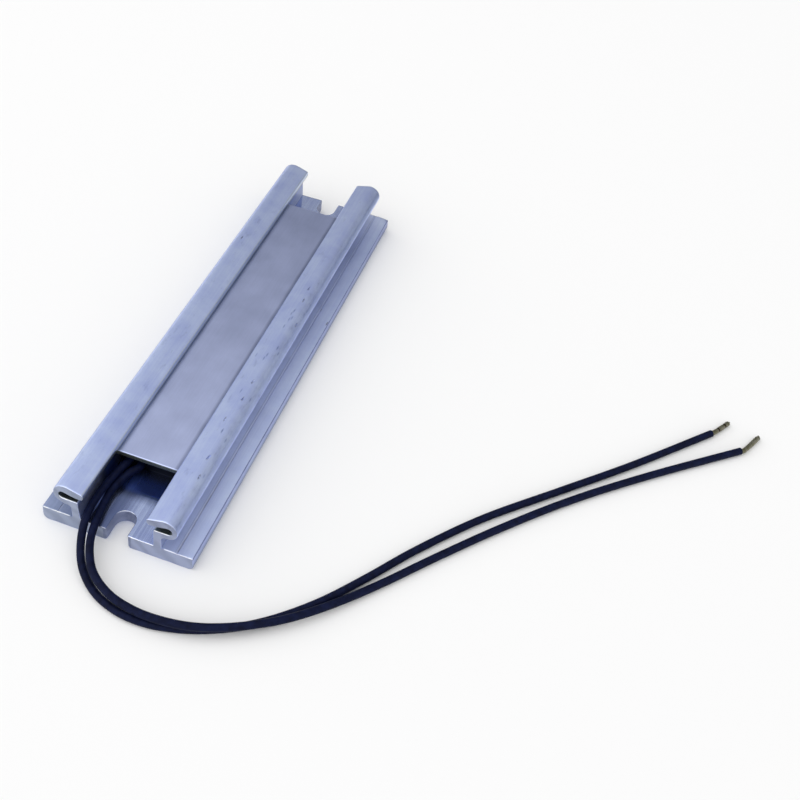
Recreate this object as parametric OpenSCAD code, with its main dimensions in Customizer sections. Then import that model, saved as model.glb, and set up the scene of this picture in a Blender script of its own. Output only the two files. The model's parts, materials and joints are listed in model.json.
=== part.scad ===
// Flat braking resistor: a heating element in a channel of extruded aluminium, closed by a cover plate
// that is held under the crimped lips of two hook rails. Two leads leave the channel at one end.
// X runs across the base, Y along the extrusion away from the leads, Z up from the base's underside.

/* [Base] */
// Width across both flanges
base_w = 40; // [36:0.5:60]
// Length of the sawn profile
body_l = 145; // [110:1:220]
// Thickness of the base
base_t = 4.4; // [3:0.1:7]
// Radius along the two lower long edges
base_edge_r = 1.5; // [0.5:0.1:2]
// Radius along the two upper long edges of the flanges
flange_edge_r = 0.3; // [0.1:0.05:0.6]
// Width of the fine guide line along each flange
guide_w = 0.4; // [0.2:0.1:0.8]
// Depth of the fine guide line
guide_depth = 0.2; // [0.1:0.05:0.4]
// Distance of the guide line from the flange's outer edge
guide_inset = 4.25; // [2:0.25:6]

/* [Channel and hook rails] */
// Clear width of the channel at its floor
channel_w = 19.2; // [18:0.1:22]
// How far each channel wall leans outwards over its height
wall_draft = 0.3; // [0:0.05:0.6]
// Thickness of a wall at its foot
wall_t = 2.2; // [1.6:0.1:3]
// Clear height of the groove under each hook
groove_h = 4.3; // [4.1:0.1:6]
// Radius of the fillets in the groove's corners
groove_fillet_r = 1.1; // [0.4:0.1:1.8]
// Thickness of the arm that carries the hook
arm_t = 1.8; // [1.4:0.1:2.4]
// How far the hook stands out past the wall
hook_overhang = 4.4; // [4:0.1:5]
// Outer radius of the rolled hook
hook_r = 3.2; // [3:0.1:3.6]
// Metal left between the slot's round end and the hook's nose
nose_t = 1.4; // [1:0.1:2]
// Radius of the slot's round end inside the hook
relief_r = 1.15; // [0.9:0.05:1.3]
// Clear width between the two crimped lips
lip_gap = 16.5; // [14:0.1:17.5]
// Angle at which the lip's top falls towards the channel
lip_fall = 16.4; // [8:0.2:20]
// Length of the flat that bears on the cover plate
lip_land = 2.1; // [1.5:0.1:3]
// Radius on the two edges of the lip's tip
lip_edge_r = 0.7; // [0.1:0.05:0.75]
// Chamfer on the shoulder where the slot opens into the channel
shoulder_cut = 0.3; // [0.1:0.05:0.5]

/* [Screw slots] */
// Width of the open slot in each end, for an M5 screw
slot_w = 5.6; // [4.4:0.1:7]
// Depth of the slot from the sawn end
slot_depth = 6.8; // [5:0.1:10]
// Chamfer round the slot on the underside
slot_chamfer = 0.6; // [0.2:0.1:1]
// Radius at the two corners of the slot's mouth
mouth_r = 0.4; // [0.1:0.1:1]

/* [Bent flange corner] */
// Length of the dented facet along the sawn end
dent_across = 3; // [1:0.5:5]
// Length of the dented facet along the flange
dent_along = 2; // [1:0.5:5]
// Depth of the dent at the corner
dent_depth = 0.5; // [0.2:0.1:1]

/* [Cover plate] */
// Thickness of the cover plate
plate_t = 1.4; // [1:0.1:1.8]
// Set-back of the plate from the end with the leads
plate_front = 17.5; // [12:0.5:25]
// Set-back of the plate from the other end
plate_back = 16; // [12:0.5:25]
// Gap between the plate's edge and the slot's round end
plate_side_gap = 1.5; // [0.3:0.1:2]
// Break on the plate's cut edges
plate_break = 0.2; // [0.05:0.05:0.4]
// Clearance between the plate and the crimped lips
lip_clear = 0.1; // [0.05:0.05:0.3]

/* [Heating element] */
// Clearance between the sleeve and the channel wall, and under the plate
sleeve_clear = 0.1; // [0.05:0.05:0.3]
// Set-back of the sleeve from each end of the plate
sleeve_inset = 3; // [1:0.5:6]
// Wall of the insulating sleeve
sleeve_t = 0.2; // [0.15:0.05:0.4]
// Outer corner radius of the sleeve
sleeve_r = 0.6; // [0.5:0.1:1]
// Thickness of a ceramic insulator
insulator_t = 1; // [0.6:0.1:1.2]
// Thickness of the contact strip
contact_t = 0.6; // [0.4:0.05:0.7]
// Wall of the stone frame's side rails
frame_t = 1.5; // [1:0.1:2]
// Width of the stone frame's cross bars
frame_bar = 1.2; // [0.8:0.1:2]
// Number of resistive stones
stone_count = 5; // [3:1:7]
// Assembly clearance round each inner piece
inner_clear = 0.1; // [0.05:0.05:0.2]
// Length of the seal round the leads
front_seal_l = 5; // [3:0.5:8]
// Length of the seal at the other end
rear_seal_l = 4; // [3:0.5:8]
// Length of the space for the crimped joints
terminal_l = 8; // [7:0.5:12]

/* [Leads] */
// Diameter of a lead over its insulation
lead_d = 2; // [1.6:0.1:2.2]
// Diameter of a lead's conductor
conductor_d = 1.2; // [0.8:0.1:1.2]
// Radial clearance of the leads in the seal
lead_clear = 0.05; // [0.02:0.01:0.1]
// Distance of the upper lead from the middle of the channel
upper_lead_x = 6.2; // [5:0.1:6.5]
// Distance of the lower lead from the middle of the channel
lower_lead_x = 3.4; // [2:0.1:3.6]
// Insulated length that stands out of the seal towards the joint
lead_tail = 0.5; // [0.2:0.1:1]
// Bare conductor between the insulation and the barrel
joint_gap = 0.5; // [0.2:0.1:1]
// Length of the crimp barrels
barrel_l = 5; // [3:0.5:6]
// Radial clearance of a conductor in its barrel
crimp_clear = 0.02; // [0.01:0.01:0.05]

/* [Hidden] */
$fn = 48;
// Overlap that makes joined shapes one solid
weld = 0.05;
// Overshoot of a cut past the faces that it opens
past = 1;

// Heights and places of the hook rail's section
wall_x = channel_w / 2 + wall_t;
shoulder_x = channel_w / 2 + wall_draft;
nose_x = wall_x + hook_overhang;
groove_top = base_t + groove_h;
ledge_z = groove_top + arm_t;
hook_centre = [nose_x - hook_r, groove_top + hook_r];
relief_centre = [nose_x - nose_t - relief_r, ledge_z + relief_r];
lip_x = lip_gap / 2;
lip_z = ledge_z + plate_t + lip_clear;
lip_root = [lip_x + lip_land, lip_z];
up_slope = [-sin(lip_fall), cos(lip_fall)];
crest = hook_centre + hook_r * up_slope;
far_x = nose_x + past;

// The slot's upper face runs from the lip's flat to a tangent of the round end
relief_reach = relief_centre - lip_root;
relief_rise = atan2(relief_reach.y, relief_reach.x) + asin(relief_r / norm(relief_reach));
relief_run = sqrt(norm(relief_reach) ^ 2 - relief_r ^ 2);
relief_top = lip_root + relief_run * [cos(relief_rise), sin(relief_rise)];

// Places along the length
front_y = -body_l / 2;
back_y = body_l / 2;
plate_front_y = front_y + plate_front;
plate_back_y = back_y - plate_back;
sleeve_front_y = plate_front_y + sleeve_inset;
sleeve_back_y = plate_back_y - sleeve_inset;
core_front_y = sleeve_front_y + front_seal_l;
core_back_y = sleeve_back_y - rear_seal_l;
frame_front_y = core_front_y + terminal_l;
frame_l = core_back_y - frame_front_y;

// Heights and widths of the element's layers, from the channel floor to the plate
sleeve_w = channel_w - 2 * sleeve_clear;
sleeve_h = ledge_z - base_t - sleeve_clear;
core_w = sleeve_w - 2 * sleeve_t;
core_h = sleeve_h - 2 * sleeve_t;
insulator_w = core_w - 2 * inner_clear;
insulator_z = base_t + sleeve_t;
contact_z = insulator_z + insulator_t;
stone_z = contact_z + contact_t;
stone_h = core_h - 2 * insulator_t - 2 * contact_t;
upper_contact_z = stone_z + stone_h;
upper_insulator_z = upper_contact_z + contact_t;
frame_inner_w = insulator_w - 2 * frame_t;
contact_w = frame_inner_w - 2 * inner_clear;
stone_pitch = (frame_l - frame_bar) / stone_count;
stone_l = stone_pitch - frame_bar - 2 * inner_clear;
// Break on the stones' upright edges
stone_break = 0.3;

// Crimp barrels: the upper one hangs from its strip, the lower one stands on its own
barrel_r = conductor_d / 2 + contact_t;
upper_lead_z = upper_contact_z - conductor_d / 2;
lower_lead_z = stone_z + conductor_d / 2;
lead_start_y = core_front_y + lead_tail;
barrel_front_y = lead_start_y + joint_gap;
// Length over which a contact's tab lies along its barrel
tab_overlap = 1;

// Straight run of a lead in front of the seal
lead_straight = 2;

// Routes of the leads: out of the seal, over the channel floor's edge and along the surface below
upper_route = [
    [-upper_lead_x, lead_start_y, upper_lead_z], [-upper_lead_x, sleeve_front_y, upper_lead_z],
    [-upper_lead_x, sleeve_front_y - lead_straight, upper_lead_z],
    [-7.5, -59, 7.7], [-8.4, -66, 7.2], [-7.9, -72.5, 6.4], [-6.2, -78.5, 4],
    [-3, -83.5, 2], [2.5, -87.7, 1.1], [9.5, -90.1, 1.05], [16.5, -90.4, 1.05],
    [23.5, -89, 1.05], [30, -86.6, 1.05], [37, -82.7, 1.05], [44, -77.1, 1.05],
    [51.5, -69.1, 1.05], [59, -58.9, 1.05], [68, -45.7, 1.05], [80.5, -29.9, 1.05],
    [96.5, -13.3, 1.05], [113, 3.8, 1.05], [131.7, 24.7, 1.05]
];
lower_route = [
    [-lower_lead_x, lead_start_y, lower_lead_z], [-lower_lead_x, sleeve_front_y, lower_lead_z],
    [-lower_lead_x, sleeve_front_y - lead_straight, lower_lead_z],
    [-5, -56.8, 6.4], [-6.4, -62.7, 5.7], [-5.7, -70.5, 5.65], [-4, -77.9, 4.9],
    [-0.1, -84, 3.9], [6, -87.8, 3.2], [13, -89.5, 3.1], [20, -89.6, 3.2],
    [27, -88.4, 3.2], [33.5, -85.9, 3.1], [40.3, -82, 2.9], [47.2, -76.8, 2.6],
    [54.7, -69, 1.9], [63, -58.9, 1.2], [73, -46.1, 1.05], [85.5, -31, 1.05],
    [100.5, -14.6, 1.05], [118, 2, 1.05], [140.2, 21.4, 1.05]
];
upper_tip = [136, 31.3, 0.8];
lower_tip = [144.6, 29.3, 0.8];
// Straight stretch of bare conductor before it bends towards its tip
bare_straight = 1.5;
tube_sides = 8;
rings_per_stretch = 2;

// Piece between two faces that meet and an arc that touches both: cuts a round edge or fills a corner.
// The unit vectors point from the arc's centre to the two faces.
module edge_piece(centre, to_a, to_b, r) {
    reach = r + weld;
    difference() {
        polygon([
            centre, centre + reach * to_a, centre + reach * (to_a + to_b) / (1 + to_a * to_b),
            centre + reach * to_b
        ]);
        translate(centre) circle(r);
    }
}

// Turns a section drawn across the object into a prism along its length
module along_y(from_y, to_y) {
    translate([0, to_y, 0]) rotate([90, 0, 0]) linear_extrude(to_y - from_y) children();
}

// Section of the base with its round long edges and guide lines
module base_section() {
    guide_x = base_w / 2 - guide_inset;
    difference() {
        translate([-base_w / 2, 0]) square([base_w, base_t]);
        for (side = [0, 1]) mirror([side, 0]) {
            edge_piece([base_w / 2 - base_edge_r, base_edge_r], [1, 0], [0, -1], base_edge_r);
            edge_piece([base_w / 2 - flange_edge_r, base_t - flange_edge_r], [1, 0], [0, 1], flange_edge_r);
            polygon([
                [guide_x, base_t - guide_depth], [guide_x + guide_w, base_t + guide_depth],
                [guide_x - guide_w, base_t + guide_depth]
            ]);
        }
    }
}

// Height of the lip's sloping top at a distance from the middle
function lip_top(x) = crest.y - (crest.x - x) * tan(lip_fall);

// Space outside the rolled nose, from the arm's underside round to the crest
module nose_space() {
    difference() {
        polygon([
            hook_centre, hook_centre + (hook_r + past) * up_slope, [far_x + past, lip_top(far_x) + past],
            [far_x + past, groove_top - past], [hook_centre.x, groove_top - past]
        ]);
        translate(hook_centre) circle(hook_r);
    }
}

// Space inside the hook: a slot with a round end, which takes the plate's edge
module slot_space() {
    translate(relief_centre) circle(relief_r);
    polygon([
        [relief_centre.x, ledge_z], [lip_x - past, ledge_z], [lip_x - past, lip_z], lip_root, relief_top,
        relief_centre
    ]);
}

// Space of the groove under the hook, with its two round inner corners
module groove_space() {
    corner_x = wall_x + groove_fillet_r;
    difference() {
        translate([wall_x, base_t]) square([far_x + past - wall_x, groove_h]);
        edge_piece([corner_x, base_t + groove_fillet_r], [-1, 0], [0, -1], groove_fillet_r);
        edge_piece([corner_x, groove_top - groove_fillet_r], [-1, 0], [0, 1], groove_fillet_r);
    }
}

// Section of one wall with its hook: the lip leaves the crest at a tangent and slopes to a round tip
module rail_section() {
    foot_x = wall_x + groove_fillet_r;
    groove_mid = base_t + groove_h / 2;
    slot_mid = (ledge_z + lip_z) / 2;
    tip_x = lip_x + lip_edge_r;
    difference() {
        polygon([
            [channel_w / 2, base_t - weld], [foot_x, base_t - weld], [foot_x, groove_mid],
            [far_x, groove_mid], [far_x, lip_top(far_x)], [lip_x, lip_top(lip_x)], [lip_x, slot_mid],
            [shoulder_x + shoulder_cut, slot_mid], [shoulder_x + shoulder_cut, ledge_z],
            [shoulder_x, ledge_z - shoulder_cut], [channel_w / 2, base_t]
        ]);
        nose_space();
        slot_space();
        groove_space();
        edge_piece([tip_x, lip_top(tip_x) - lip_edge_r / cos(lip_fall)], [-1, 0], up_slope, lip_edge_r);
        edge_piece([tip_x, lip_z + lip_edge_r], [-1, 0], [0, -1], lip_edge_r);
    }
}

// Open screw slot at the front end, with its round mouth and the chamfer on the underside
module screw_slot() {
    straight = slot_depth - slot_w / 2;
    translate([0, front_y, -past]) linear_extrude(base_t + 2 * past) {
        translate([-slot_w / 2, -past]) square([slot_w, straight + past]);
        translate([0, straight]) circle(slot_w / 2);
        for (side = [0, 1]) mirror([side, 0])
            edge_piece([slot_w / 2 + mouth_r, mouth_r], [-1, 0], [0, -1], mouth_r);
    }
    translate([0, front_y + straight, -weld])
        cylinder(slot_chamfer + weld, slot_w / 2 + slot_chamfer + weld, slot_w / 2);
    along_y(front_y - past, front_y + straight)
        polygon([
            [-slot_w / 2 - slot_chamfer - weld, -weld], [slot_w / 2 + slot_chamfer + weld, -weld],
            [slot_w / 2, slot_chamfer], [-slot_w / 2, slot_chamfer]
        ]);
}

// Knock on the far right flange corner: a shallow sloping facet
module corner_dent() {
    facet = [1 / dent_across, 1 / dent_along, 1 / dent_depth];
    tilt = acos(facet.z / norm(facet));
    turn = atan2(facet.y, facet.x);
    reach = dent_across + dent_along;
    intersection() {
        translate([base_w / 2 - dent_across, back_y, base_t]) rotate([0, tilt, turn])
            translate([-reach, -reach, 0]) cube(2 * reach);
        translate([base_w / 2 - dent_across, back_y - dent_along, base_t - dent_depth])
            cube([dent_across + past, dent_along + past, dent_depth + past]);
    }
}

module housing() {
    color([0.72, 0.76, 0.83]) difference() {
        along_y(front_y, back_y) {
            base_section();
            for (side = [0, 1]) mirror([side, 0]) rail_section();
        }
        for (end = [0, 1]) mirror([0, end, 0]) screw_slot();
        corner_dent();
    }
}

module cover_plate() {
    half_w = relief_centre.x + relief_r - plate_side_gap;
    low = ledge_z;
    high = ledge_z + plate_t;
    color([0.66, 0.68, 0.72]) rotate([90, 0, 90]) translate([0, 0, -half_w]) linear_extrude(2 * half_w)
        polygon([
            [plate_front_y, low], [plate_back_y, low], [plate_back_y, high - plate_break],
            [plate_back_y - plate_break, high], [plate_front_y + plate_break, high],
            [plate_front_y, high - plate_break]
        ]);
}

// Rectangle with round corners, standing on its lower edge and centred across
module round_section(w, h, r) {
    translate([-w / 2 + r, 0]) square([w - 2 * r, h]);
    translate([-w / 2, r]) square([w, h - 2 * r]);
    for (x = [-1, 1], z = [r, h - r]) translate([x * (w / 2 - r), z]) circle(r);
}

// Section of the space inside the sleeve
module core_section(clear = 0) {
    translate([0, insulator_z]) round_section(core_w - 2 * clear, core_h, sleeve_r - sleeve_t);
}

module insulating_sleeve() {
    color([0.08, 0.08, 0.09]) along_y(sleeve_front_y, sleeve_back_y) difference() {
        translate([0, base_t]) round_section(sleeve_w, sleeve_h, sleeve_r);
        core_section();
    }
}

// A ceramic strip: the corner that faces the sleeve keeps clear of the sleeve's own round corner
module insulator(z, flip) {
    color([0.93, 0.92, 0.88]) along_y(core_front_y, core_back_y) translate([0, z]) {
        corner = sleeve_r - sleeve_t;
        translate([0, flip ? insulator_t : 0]) mirror([0, flip ? 1 : 0]) polygon([
            [-insulator_w / 2 + corner, 0], [insulator_w / 2 - corner, 0], [insulator_w / 2, corner],
            [insulator_w / 2, insulator_t], [-insulator_w / 2, insulator_t], [-insulator_w / 2, corner]
        ]);
    }
}

module lower_insulator() {
    insulator(insulator_z, false);
}

module upper_insulator() {
    insulator(upper_insulator_z, true);
}

// A stamped strip with a tab that is rolled into a crimp barrel round the conductor
module contact_plate(z, lead_x, lead_z) {
    tab_end_y = barrel_front_y + barrel_l - tab_overlap;
    color([0.85, 0.68, 0.35]) difference() {
        union() {
            translate([-contact_w / 2, frame_front_y, z]) cube([contact_w, frame_l, contact_t]);
            translate([-lead_x - barrel_r, tab_end_y, z])
                cube([2 * barrel_r, frame_front_y - tab_end_y + weld, contact_t]);
            translate([-lead_x, barrel_front_y, lead_z]) rotate([-90, 0, 0]) cylinder(barrel_l, r = barrel_r);
        }
        translate([-lead_x, barrel_front_y - past, lead_z]) rotate([-90, 0, 0])
            cylinder(barrel_l + past, r = conductor_d / 2 + crimp_clear);
    }
}

module lower_contact_plate() {
    contact_plate(contact_z, lower_lead_x, lower_lead_z);
}

module upper_contact_plate() {
    contact_plate(upper_contact_z, upper_lead_x, upper_lead_z);
}

// Moulded frame: side rails between the insulators and bars between the contact strips
module stone_frame() {
    color([0.80, 0.76, 0.66]) {
        for (side = [0, 1]) mirror([side, 0, 0]) translate([frame_inner_w / 2, frame_front_y, contact_z])
            cube([frame_t, frame_l, stone_h + 2 * contact_t]);
        for (i = [0:stone_count])
            translate([-frame_inner_w / 2 - weld, frame_front_y + i * stone_pitch, stone_z])
                cube([frame_inner_w + 2 * weld, frame_bar, stone_h]);
    }
}

// One resistive stone with broken edges, flat on the contact strips
module ptc_stone(i) {
    w = contact_w;
    y = frame_front_y + frame_bar + (i - 1) * stone_pitch + inner_clear;
    color([0.35, 0.34, 0.36]) translate([0, y, stone_z]) linear_extrude(stone_h) polygon([
        [-w / 2 + stone_break, 0], [w / 2 - stone_break, 0], [w / 2, stone_break],
        [w / 2, stone_l - stone_break], [w / 2 - stone_break, stone_l], [-w / 2 + stone_break, stone_l],
        [-w / 2, stone_l - stone_break], [-w / 2, stone_break]
    ]);
}

module front_seal() {
    color([0.15, 0.15, 0.16]) along_y(sleeve_front_y, core_front_y) difference() {
        core_section();
        translate([-upper_lead_x, upper_lead_z]) circle(lead_d / 2 + lead_clear);
        translate([-lower_lead_x, lower_lead_z]) circle(lead_d / 2 + lead_clear);
    }
}

module rear_seal() {
    color([0.15, 0.15, 0.16]) along_y(core_back_y, sleeve_back_y) core_section();
}

function unit(v) = v / norm(v);

// Point of a smooth curve through the route, at a share of the way along one stretch
function route_point(p, i, share) =
    let (
        last = len(p) - 1,
        a = i > 0 ? p[i - 1] : 2 * p[0] - p[1],
        b = p[i],
        c = p[i + 1],
        d = i + 1 < last ? p[i + 2] : 2 * p[last] - p[last - 1]
    )
    0.5 * (2 * b + (c - a) * share + (2 * a - 5 * b + 4 * c - d) * share ^ 2
        + (3 * b - a - 3 * c + d) * share ^ 3);

function smooth_route(p) = concat(
    [for (i = [0:len(p) - 2], k = [0:rings_per_stretch - 1]) route_point(p, i, k / rings_per_stretch)],
    [p[len(p) - 1]]
);

// Ring of points round one place on the curve, with a flat side turned down
function ring(at, along, r) =
    let (
        across = unit(cross(along, [0, 0, 1])),
        up = cross(across, along)
    )
    [for (k = [0:tube_sides - 1])
        let (angle = (k + 0.5) * 360 / tube_sides) at + r * (cos(angle) * across + sin(angle) * up)];

// Closed tube along a route
module tube(route, d) {
    p = smooth_route(route);
    last = len(p) - 1;
    rings = [for (i = [0:last])
        let (
            before = i > 0 ? p[i] - p[i - 1] : route[1] - route[0],
            after = i < last ? p[i + 1] - p[i] : route[len(route) - 1] - route[len(route) - 2],
            along = i == 0 ? before : i == last ? after : unit(before) + unit(after)
        )
        each ring(p[i], unit(along), d / 2)];
    sides = [for (i = [0:last - 1], k = [0:tube_sides - 1])
        let (next = (k + 1) % tube_sides)
        [i * tube_sides + k, i * tube_sides + next, (i + 1) * tube_sides + next, (i + 1) * tube_sides + k]];
    start_cap = [[for (k = [tube_sides - 1:-1:0]) k]];
    end_cap = [[for (k = [0:tube_sides - 1]) last * tube_sides + k]];
    polyhedron(rings, concat(sides, start_cap, end_cap));
}

// Bare conductor that goes on from the end of a lead's insulation to its tip
module bare_end(route, tip) {
    end = route[len(route) - 1];
    along = unit(end - route[len(route) - 2]);
    tube([end, end + bare_straight * along, tip], conductor_d);
}

// Bare conductor between a lead's insulation and the bottom of its crimp barrel
module inner_end(route) {
    reach = barrel_front_y + barrel_l - lead_start_y;
    translate(route[0]) rotate([-90, 0, 0]) cylinder(reach, d = conductor_d);
}

module upper_lead() {
    color([0.10, 0.11, 0.16]) tube(upper_route, lead_d);
}

module lower_lead() {
    color([0.10, 0.11, 0.16]) tube(lower_route, lead_d);
}

module upper_lead_inner_end() {
    color([0.72, 0.62, 0.42]) inner_end(upper_route);
}

module lower_lead_inner_end() {
    color([0.72, 0.62, 0.42]) inner_end(lower_route);
}

module upper_lead_bare_end() {
    color([0.72, 0.62, 0.42]) bare_end(upper_route, upper_tip);
}

module lower_lead_bare_end() {
    color([0.72, 0.62, 0.42]) bare_end(lower_route, lower_tip);
}

housing();
cover_plate();
insulating_sleeve();
lower_insulator();
upper_insulator();
lower_contact_plate();
upper_contact_plate();
stone_frame();
for (i = [1:stone_count]) ptc_stone(i);
front_seal();
rear_seal();
upper_lead();
lower_lead();
upper_lead_inner_end();
lower_lead_inner_end();
upper_lead_bare_end();
lower_lead_bare_end();
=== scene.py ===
# %% [markdown]
# A flat braking resistor: a heating element in a length of extruded aluminium channel, under a cover
# plate that two crimped lips hold down, with two thin black leads. The solids come from the part's own
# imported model, in metres. This script adds the finish of every surface, the leads and the daylight studio.

# %% Load the solids as a fixed frame
import json
import math
import random

import bmesh
import bpy
from mathutils import Euler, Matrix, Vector
from mathutils.noise import noise


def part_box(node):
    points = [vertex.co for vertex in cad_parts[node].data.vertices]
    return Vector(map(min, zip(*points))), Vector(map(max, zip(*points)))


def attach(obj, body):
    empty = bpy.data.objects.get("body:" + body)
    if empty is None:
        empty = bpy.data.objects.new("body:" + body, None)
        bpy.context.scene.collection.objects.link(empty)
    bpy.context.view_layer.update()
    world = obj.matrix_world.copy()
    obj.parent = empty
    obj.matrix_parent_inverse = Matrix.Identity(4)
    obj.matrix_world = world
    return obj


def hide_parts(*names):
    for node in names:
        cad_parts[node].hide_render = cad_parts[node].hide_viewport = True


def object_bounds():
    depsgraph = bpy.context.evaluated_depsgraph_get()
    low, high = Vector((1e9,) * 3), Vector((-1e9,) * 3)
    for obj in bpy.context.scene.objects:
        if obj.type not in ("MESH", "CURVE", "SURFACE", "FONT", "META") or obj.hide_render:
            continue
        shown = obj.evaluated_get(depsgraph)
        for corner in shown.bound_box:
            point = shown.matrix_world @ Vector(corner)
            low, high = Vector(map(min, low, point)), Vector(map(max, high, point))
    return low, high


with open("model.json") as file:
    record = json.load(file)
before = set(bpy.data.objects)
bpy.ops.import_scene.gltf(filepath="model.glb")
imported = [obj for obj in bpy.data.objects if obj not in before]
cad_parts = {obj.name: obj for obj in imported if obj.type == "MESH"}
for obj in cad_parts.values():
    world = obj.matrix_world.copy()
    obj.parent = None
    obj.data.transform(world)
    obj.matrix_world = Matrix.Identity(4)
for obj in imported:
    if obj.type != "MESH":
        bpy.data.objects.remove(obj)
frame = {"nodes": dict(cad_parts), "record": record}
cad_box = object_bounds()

MM = 0.001
scene = bpy.context.scene
box_mm = [[round(x / MM, 1) for x in corner] for corner in cad_box]
print("solids:", len(frame["nodes"]), "box in mm:", box_mm)

# %% [markdown]
# The camera. The picture was taken by hand from above, to the right of the end with the leads. A camera
# can be aimed with a Track To constraint, but a hand-held picture also leans a little, so the place and
# the three angles are written out. They were fitted to the housing's corners, in the part's own frame.

# %% Camera
picture_px = 800
focal_px = 1152
camera_data = bpy.data.cameras.new("studio_camera")
camera_data.sensor_width = 36
camera_data.lens = camera_data.sensor_width * focal_px / picture_px
camera_data.shift_x = 0.053
camera_data.shift_y = -0.038
camera_data.clip_start = 10 * MM
camera_data.clip_end = 20
camera = bpy.data.objects.new("studio_camera", camera_data)
camera.location = Vector((92.26, -217.45, 229.92)) * MM
camera.rotation_euler = Euler([math.radians(a) for a in (45.18, -5.01, 19.70)])
scene.collection.objects.link(camera)
scene.camera = camera
print("lens in mm:", round(camera_data.lens, 2))

# %% [markdown]
# The routes of the two leads. Each lead leaves the seal under the plate, runs over the channel's floor
# and drops to the table. The routes repeat the points of the part's own solids, but inside the channel
# they lie 0.2 mm nearer to each other. The points are joined by a curve that passes through each of them.

# %% Routes of the leads, in millimetres
upper_route = [
    (-6.2, -46.5, 8), (-6.2, -52, 8), (-6.2, -54, 8),
    (-7.4, -59, 7.7), (-8.2, -66, 7.2), (-7.9, -72.5, 6.4), (-6.2, -78.5, 4),
    (-3, -83.5, 2), (2.5, -87.7, 1.1), (9.5, -90.1, 1.05), (16.5, -90.4, 1.05),
    (23.5, -89, 1.05), (30, -86.6, 1.05), (37, -82.7, 1.05), (44, -77.1, 1.05),
    (51.5, -69.1, 1.05), (59, -58.9, 1.05), (68, -45.7, 1.05), (80.5, -29.9, 1.05),
    (96.5, -13.3, 1.05), (113, 3.8, 1.05), (131.7, 24.7, 1.05),
]
lower_route = [
    (-3.4, -46.5, 6.8), (-3.4, -52, 6.8), (-3.4, -54, 6.8),
    (-5.1, -56.8, 6.4), (-6.6, -62.7, 5.7), (-5.8, -70.5, 5.65), (-4, -77.9, 4.9),
    (-0.1, -84, 3.9), (6, -87.8, 3.2), (13, -89.5, 3.1), (20, -89.6, 3.2),
    (27, -88.4, 3.2), (33.5, -85.9, 3.1), (40.3, -82, 2.9), (47.2, -76.8, 2.6),
    (54.7, -69, 1.9), (63, -58.9, 1.2), (73, -46.1, 1.05), (85.5, -31, 1.05),
    (100.5, -14.6, 1.05), (118, 2, 1.05), (140.2, 21.4, 1.05),
]
length_steps = 16


def in_metres(points):
    """Points given in millimetres, as vectors in metres."""
    return [Vector(p) * MM for p in points]


def neighbours(points, i):
    """The points before and after a stretch; past the ends the first and last stretch are carried on."""
    before = points[i - 1] if i > 0 else 2 * points[0] - points[1]
    after = points[i + 2] if i + 2 < len(points) else 2 * points[-1] - points[-2]
    return before, after


def smooth(points, steps):
    """A curve through the points (Catmull-Rom), with so many steps to a stretch."""
    fine = []
    for i in range(len(points) - 1):
        a, d = neighbours(points, i)
        b, c = points[i], points[i + 1]
        for k in range(steps):
            t = k / steps
            fine.append(0.5 * (2 * b + (c - a) * t + (2 * a - 5 * b + 4 * c - d) * t**2
                               + (3 * b - a - 3 * c + d) * t**3))
    return fine + [points[-1]]


def route_length(points):
    """Length of the smooth curve through the points."""
    fine = smooth(points, length_steps)
    return sum((b - a).length for a, b in zip(fine, fine[1:]))


upper_points = in_metres(upper_route)
lower_points = in_metres(lower_route)
print("lead lengths in mm:", [round(route_length(p) / MM, 1) for p in (upper_points, lower_points)])

# %% [markdown]
# The leads. A tube could be swept as a mesh, but a Bezier curve with a round bevel stays smooth at any
# distance and keeps its centreline, which is what its length is measured on. The handles are a sixth of
# the step between the neighbouring points, which gives the same curve as the solids follow. The bevel is
# one metre and each point scales it down, because Blender measures a curve's box by its points' radius.

# %% Two insulated leads
lead_d = 2


def make_lead(name, points):
    """A round tube along the points, as a Bezier curve with a round bevel."""
    curve = bpy.data.curves.new(name, "CURVE")
    curve.dimensions = "3D"
    curve.bevel_depth = 1
    curve.bevel_resolution = 5
    curve.resolution_u = 10
    curve.use_fill_caps = True
    spline = curve.splines.new("BEZIER")
    spline.bezier_points.add(len(points) - 1)
    for i, point in enumerate(spline.bezier_points):
        before = points[i - 1] if i > 0 else 2 * points[0] - points[1]
        after = points[i + 1] if i + 1 < len(points) else 2 * points[-1] - points[-2]
        point.co = points[i]
        point.radius = lead_d / 2 * MM
        point.handle_left = points[i] - (after - before) / 6 if i > 0 else points[i]
        point.handle_right = points[i] + (after - before) / 6 if i + 1 < len(points) else points[i]
    lead = bpy.data.objects.new(name, curve)
    scene.collection.objects.link(lead)
    print(name, "points:", len(points))
    return lead


upper_lead = make_lead("upper_lead_tube", upper_points)
lower_lead = make_lead("lower_lead_tube", lower_points)

# %% [markdown]
# The stripped far ends. The conductor is a bundle of thin wires, twisted between two fingers. A plain rod
# would look solid, so each outer wire is a thin tube of its own that winds round the bundle's middle line,
# over a core that closes the gaps. The upper end was pinched at two places, which left dark waists.

# %% Tubes along a path
wire_sides = 8


def join_rings(bm, rings):
    """Joins a row of rings into a closed skin."""
    count = len(rings[0])
    for a, b in zip(rings, rings[1:]):
        for k in range(count):
            n = (k + 1) % count
            bm.faces.new((a[k], a[n], b[n], b[k]))
    bm.faces.new(rings[0][::-1])
    bm.faces.new(rings[-1])


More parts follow.
